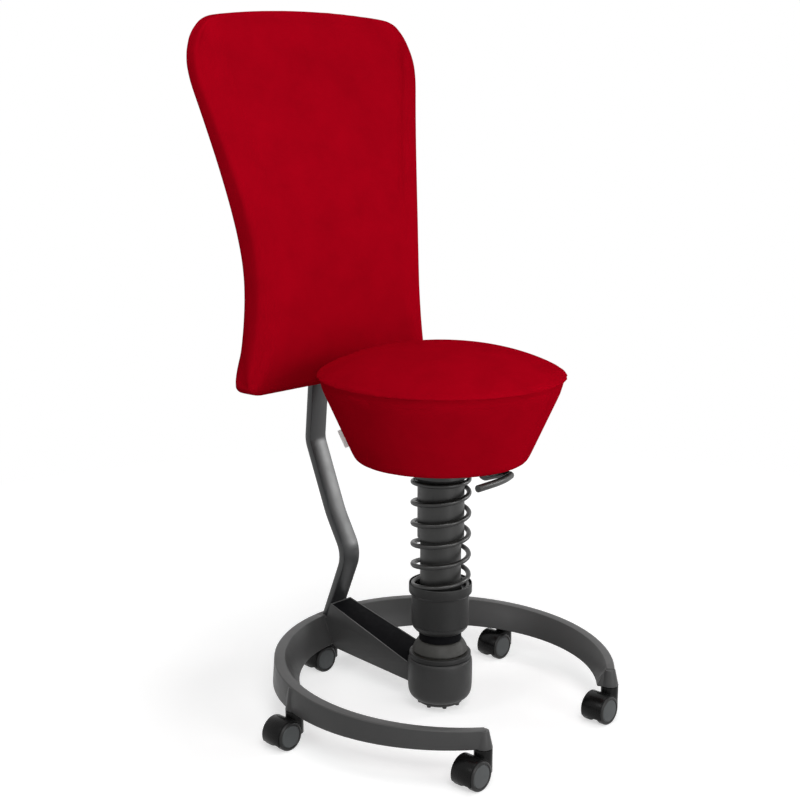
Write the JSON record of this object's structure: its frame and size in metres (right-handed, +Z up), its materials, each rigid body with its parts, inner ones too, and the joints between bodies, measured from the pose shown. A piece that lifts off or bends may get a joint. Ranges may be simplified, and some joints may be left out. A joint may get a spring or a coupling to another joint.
{
  "type": "balance stool with backrest",
  "caption": "Padded stool on a sprung, swaying column over an open castor ring, with a gas-lift height lever and a tall padded backrest on a curved bar.",
  "frame": {"origin": "on the floor under the column axis, at rest with the lift fully raised and nobody seated", "axes": "+Z up, the sitter faces -Y, the ring opens towards -Y, the backrest stands at +Y and the sitter's right is -X"},
  "size_m": [0.6365, 0.622, 1.214],
  "materials": {
    "cast_frame": "satin",
    "bar_paint": "satin",
    "cover_plastic": "matte",
    "housing_plastic": "satin",
    "fixing_steel": "brushed",
    "shell_plastic": "matte",
    "cover_fabric": "woven cloth",
    "joint_rubber": "matte",
    "column_paint": "satin",
    "spring_paint": "satin",
    "cup_plastic": "satin",
    "bush_plastic": "matte",
    "lift_steel": "polished",
    "board_wood": "raw plywood",
    "lever_paint": "satin",
    "tag_cloth": "woven cloth",
    "hood_plastic": "gloss",
    "axle_steel": "brushed",
    "wheel_plastic": "satin"
  },
  "bodies": {
    "base": {"ring_left": "cast_frame", "ring_right": "cast_frame", "support_arm": "cast_frame", "arm_cover": "cover_plastic", "housing": "housing_plastic", "retaining_ring": "housing_plastic", "pivot_post": "fixing_steel", "base_cap": "cover_plastic", "cap_screws": "fixing_steel", "castor_sockets": "fixing_steel", "back_bar": "bar_paint", "back_bracket": "bar_paint", "bracket_bolts": "fixing_steel", "back_shell": "shell_plastic", "back_pad": "cover_fabric"},
    "sway_cross": {"rubber_core": "joint_rubber"},
    "column": {"strut_foot": "column_paint", "sway_dome": "joint_rubber", "lower_tube": "column_paint"},
    "spring_foot": {"thrust_ring": "fixing_steel", "coil_spring": "spring_paint"},
    "cup": {"tension_cup": "cup_plastic"},
    "upper": {"upper_tube": "column_paint", "sleeve_bush": "bush_plastic", "spring_flange": "column_paint", "gas_cylinder": "lift_steel", "lift_bush": "bush_plastic"},
    "lift": {"lift_rod": "lift_steel"},
    "button": {"valve_button": "lift_steel"},
    "seat": {"seat_plate": "fixing_steel", "seat_board": "board_wood", "seat_shell": "shell_plastic", "seat_skirt": "cover_fabric", "seat_cushion": "cover_fabric", "plate_screws": "fixing_steel", "lever_pin": "fixing_steel", "seat_tag": "tag_cloth"},
    "lever": {"lever_yoke": "lever_paint", "lever_rod": "lever_paint"},
    "castor_1": {"castor_1_hood": "hood_plastic", "castor_1_axle": "axle_steel"},
    "castor_1_front": {"castor_1_wheel_front": "wheel_plastic"},
    "castor_1_back": {"castor_1_wheel_back": "wheel_plastic"},
    "castor_2": {"castor_2_hood": "hood_plastic", "castor_2_axle": "axle_steel"},
    "castor_2_front": {"castor_2_wheel_front": "wheel_plastic"},
    "castor_2_back": {"castor_2_wheel_back": "wheel_plastic"},
    "castor_3": {"castor_3_hood": "hood_plastic", "castor_3_axle": "axle_steel"},
    "castor_3_front": {"castor_3_wheel_front": "wheel_plastic"},
    "castor_3_back": {"castor_3_wheel_back": "wheel_plastic"},
    "castor_4": {"castor_4_hood": "hood_plastic", "castor_4_axle": "axle_steel"},
    "castor_4_front": {"castor_4_wheel_front": "wheel_plastic"},
    "castor_4_back": {"castor_4_wheel_back": "wheel_plastic"},
    "castor_5": {"castor_5_hood": "hood_plastic", "castor_5_axle": "axle_steel"},
    "castor_5_front": {"castor_5_wheel_front": "wheel_plastic"},
    "castor_5_back": {"castor_5_wheel_back": "wheel_plastic"}
  },
  "joints": [
    {"name": "side_sway", "type": "hinge", "parent": "base", "child": "sway_cross", "pos_m": [0, 0, 0.096], "axis": [0, 1, 0], "range_deg": [-9, 9], "stiffness_Nm_per_rad": 420},
    {"name": "fore_sway", "type": "hinge", "parent": "sway_cross", "child": "column", "pos_m": [0, 0, 0.096], "axis": [1, 0, 0], "range_deg": [-2, 9], "stiffness_Nm_per_rad": 420},
    {"name": "preload", "type": "slide", "parent": "column", "child": "spring_foot", "axis": [0, 0, 1], "range_m": [0, 0.006]},
    {"name": "cup_turn", "type": "hinge", "parent": "spring_foot", "child": "cup", "pos_m": [0, 0, 0.2], "axis": [0, 0, 1], "range_deg": [0, 360]},
    {"name": "bounce", "type": "slide", "parent": "column", "child": "upper", "axis": [0, 0, -1], "range_m": [0, 0.06], "stiffness_N_per_m": 22000, "springref_m": -0.02, "deforming": ["coil_spring"]},
    {"name": "height", "type": "slide", "parent": "upper", "child": "lift", "axis": [0, 0, 1], "range_m": [-0.12, 0]},
    {"name": "swivel", "type": "hinge", "parent": "lift", "child": "seat", "pos_m": [0, 0, 0.5], "axis": [0, 0, 1], "continuous": true},
    {"name": "lever_lift", "type": "hinge", "parent": "seat", "child": "lever", "pos_m": [0, -0.028, 0.58], "axis": [-1, 0, 0], "range_deg": [0, 4], "stiffness_Nm_per_rad": 6, "springref_deg": -14.32},
    {"name": "button_press", "type": "slide", "parent": "lift", "child": "button", "axis": [0, 0, -1], "range_m": [0, 0.002], "stiffness_N_per_m": 1500, "springref_m": -0.004},
    {"name": "castor_1_swivel", "type": "hinge", "parent": "base", "child": "castor_1", "pos_m": [0, 0.2826, 0.07], "axis": [0, 0, 1], "continuous": true},
    {"name": "castor_1_spin_front", "type": "hinge", "parent": "castor_1", "child": "castor_1_front", "pos_m": [-0.029, 0.2826, 0.025], "axis": [0, 1, 0], "continuous": true},
    {"name": "castor_1_spin_back", "type": "hinge", "parent": "castor_1", "child": "castor_1_back", "pos_m": [-0.029, 0.2826, 0.025], "axis": [0, 1, 0], "continuous": true},
    {"name": "castor_2_swivel", "type": "hinge", "parent": "base", "child": "castor_2", "pos_m": [0.27771, 0.08083, 0.07], "axis": [0, 0, 1], "continuous": true},
    {"name": "castor_2_spin_front", "type": "hinge", "parent": "castor_2", "child": "castor_2_front", "pos_m": [0.24871, 0.08083, 0.025], "axis": [0, 1, 0], "continuous": true},
    {"name": "castor_2_spin_back", "type": "hinge", "parent": "castor_2", "child": "castor_2_back", "pos_m": [0.24871, 0.08083, 0.025], "axis": [0, 1, 0], "continuous": true},
    {"name": "castor_3_swivel", "type": "hinge", "parent": "base", "child": "castor_3", "pos_m": [0.17163, -0.24563, 0.07], "axis": [0, 0, 1], "continuous": true},
    {"name": "castor_3_spin_front", "type": "hinge", "parent": "castor_3", "child": "castor_3_front", "pos_m": [0.14263, -0.24563, 0.025], "axis": [0, 1, 0], "continuous": true},
    {"name": "castor_3_spin_back", "type": "hinge", "parent": "castor_3", "child": "castor_3_back", "pos_m": [0.14263, -0.24563, 0.025], "axis": [0, 1, 0], "continuous": true},
    {"name": "castor_4_swivel", "type": "hinge", "parent": "base", "child": "castor_4", "pos_m": [-0.17163, -0.24563, 0.07], "axis": [0, 0, 1], "continuous": true},
    {"name": "castor_4_spin_front", "type": "hinge", "parent": "castor_4", "child": "castor_4_front", "pos_m": [-0.20063, -0.24563, 0.025], "axis": [0, 1, 0], "continuous": true},
    {"name": "castor_4_spin_back", "type": "hinge", "parent": "castor_4", "child": "castor_4_back", "pos_m": [-0.20063, -0.24563, 0.025], "axis": [0, 1, 0], "continuous": true},
    {"name": "castor_5_swivel", "type": "hinge", "parent": "base", "child": "castor_5", "pos_m": [-0.27771, 0.08083, 0.07], "axis": [0, 0, 1], "continuous": true},
    {"name": "castor_5_spin_front", "type": "hinge", "parent": "castor_5", "child": "castor_5_front", "pos_m": [-0.30671, 0.08083, 0.025], "axis": [0, 1, 0], "continuous": true},
    {"name": "castor_5_spin_back", "type": "hinge", "parent": "castor_5", "child": "castor_5_back", "pos_m": [-0.30671, 0.08083, 0.025], "axis": [0, 1, 0], "continuous": true}
  ],
  "couplings": [
    {"joint": "preload", "follows": "cup_turn", "m_per_rad": 0.000954},
    {"joint": "button_press", "follows": "lever_lift", "m_per_rad": 0.028}
  ]
}
